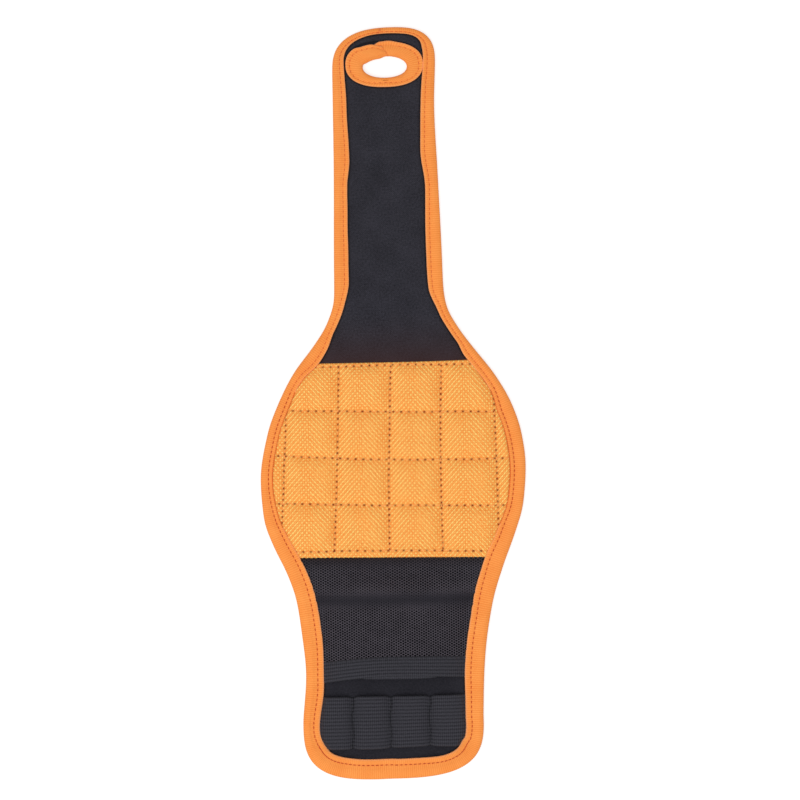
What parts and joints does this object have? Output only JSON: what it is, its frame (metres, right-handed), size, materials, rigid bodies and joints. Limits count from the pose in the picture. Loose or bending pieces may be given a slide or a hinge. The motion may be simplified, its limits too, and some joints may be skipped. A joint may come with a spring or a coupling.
{
  "type": "magnetic wristband",
  "caption": "Long flexible wrist band with a thumb hole, a quilted magnet panel, a mesh pocket, elastic tool loops and a bound edge.",
  "frame": {"origin": "on the back face, half way along the band and on its centre line", "axes": "+Z out of the front of the band, +Y along it towards the strap's tip, +X across it to the right"},
  "size_m": [0.123, 0.35, 0.0104],
  "materials": {
    "binding": "orange ribbed woven binding tape",
    "quilt": "light orange coarse woven nylon",
    "strap": "black brushed loop cloth",
    "base": "black smooth woven cloth",
    "mesh": "black open mesh",
    "elastic": "black ribbed elastic",
    "lining": "black air mesh",
    "magnet": "nickel plated magnet",
    "hook": "black hook tape"
  },
  "bodies": {
    "strap_tip": {"strap_tip_lining": "lining", "strap_tip_face": "strap", "strap_tip_binding": "binding", "thumb_hole_binding": "binding"},
    "strap_middle": {"strap_middle_lining": "lining", "strap_middle_face": "strap", "strap_middle_binding_left": "binding", "strap_middle_binding_right": "binding"},
    "strap_root": {"strap_root_lining": "lining", "strap_root_face": "strap", "strap_root_binding_left": "binding", "strap_root_binding_right": "binding"},
    "panel_row_1": {"panel_row_1_lining": "lining", "panel_row_1_quilt": "quilt", "panel_row_1_binding_left": "binding", "panel_row_1_binding_right": "binding", "magnet_1_1": "magnet", "magnet_1_2": "magnet", "magnet_1_3": "magnet", "magnet_1_4": "magnet"},
    "panel_row_2": {"panel_row_2_lining": "lining", "panel_row_2_quilt": "quilt", "panel_row_2_binding_left": "binding", "panel_row_2_binding_right": "binding", "magnet_2_1": "magnet", "magnet_2_2": "magnet", "magnet_2_3": "magnet", "magnet_2_4": "magnet"},
    "panel_row_3": {"panel_row_3_lining": "lining", "panel_row_3_quilt": "quilt", "panel_row_3_binding_left": "binding", "panel_row_3_binding_right": "binding", "magnet_3_1": "magnet", "magnet_3_2": "magnet", "magnet_3_3": "magnet", "magnet_3_4": "magnet"},
    "panel_row_4": {"panel_row_4_lining": "lining", "panel_row_4_quilt": "quilt", "panel_row_4_binding_left": "binding", "panel_row_4_binding_right": "binding", "magnet_4_1": "magnet", "magnet_4_2": "magnet", "magnet_4_3": "magnet", "magnet_4_4": "magnet"},
    "pocket_section": {"pocket_lining": "lining", "pocket_face": "base", "pocket_binding_left": "binding", "pocket_binding_right": "binding", "mesh_pocket": "mesh", "pocket_hem": "elastic"},
    "loop_section": {"loop_end_lining": "lining", "loop_end_face": "base", "loop_end_binding": "binding", "tool_loops": "elastic", "hook_patch": "hook"}
  },
  "joints": [
    {"name": "panel_curl", "type": "hinge", "parent": "panel_row_2", "child": "panel_row_1", "pos_m": [0, -0.003, 0], "axis": [-1, 0, 0], "range_deg": [0, 22]},
    {"name": "panel_curl_2", "type": "hinge", "parent": "panel_row_2", "child": "panel_row_3", "pos_m": [0, -0.0259, 0], "axis": [1, 0, 0], "range_deg": [0, 22]},
    {"name": "panel_curl_3", "type": "hinge", "parent": "panel_row_3", "child": "panel_row_4", "pos_m": [0, -0.0473, 0], "axis": [1, 0, 0], "range_deg": [0, 22]},
    {"name": "strap_curl", "type": "hinge", "parent": "panel_row_1", "child": "strap_root", "pos_m": [0, 0.0198, 0], "axis": [-1, 0, 0], "range_deg": [0, 75]},
    {"name": "strap_curl_2", "type": "hinge", "parent": "strap_root", "child": "strap_middle", "pos_m": [0, 0.076, 0], "axis": [-1, 0, 0], "range_deg": [0, 75]},
    {"name": "strap_curl_3", "type": "hinge", "parent": "strap_middle", "child": "strap_tip", "pos_m": [0, 0.123, 0], "axis": [-1, 0, 0], "range_deg": [0, 75]},
    {"name": "end_curl", "type": "hinge", "parent": "panel_row_4", "child": "pocket_section", "pos_m": [0, -0.0718, 0], "axis": [1, 0, 0], "range_deg": [0, 69]},
    {"name": "end_curl_2", "type": "hinge", "parent": "pocket_section", "child": "loop_section", "pos_m": [0, -0.1326, 0], "axis": [1, 0, 0], "range_deg": [0, 69]}
  ],
  "couplings": [
    {"joint": "panel_curl_2", "follows": "panel_curl", "ratio": 1},
    {"joint": "panel_curl_3", "follows": "panel_curl", "ratio": 1},
    {"joint": "strap_curl_2", "follows": "strap_curl", "ratio": 1},
    {"joint": "strap_curl_3", "follows": "strap_curl", "ratio": 1},
    {"joint": "end_curl_2", "follows": "end_curl", "ratio": 1}
  ]
}
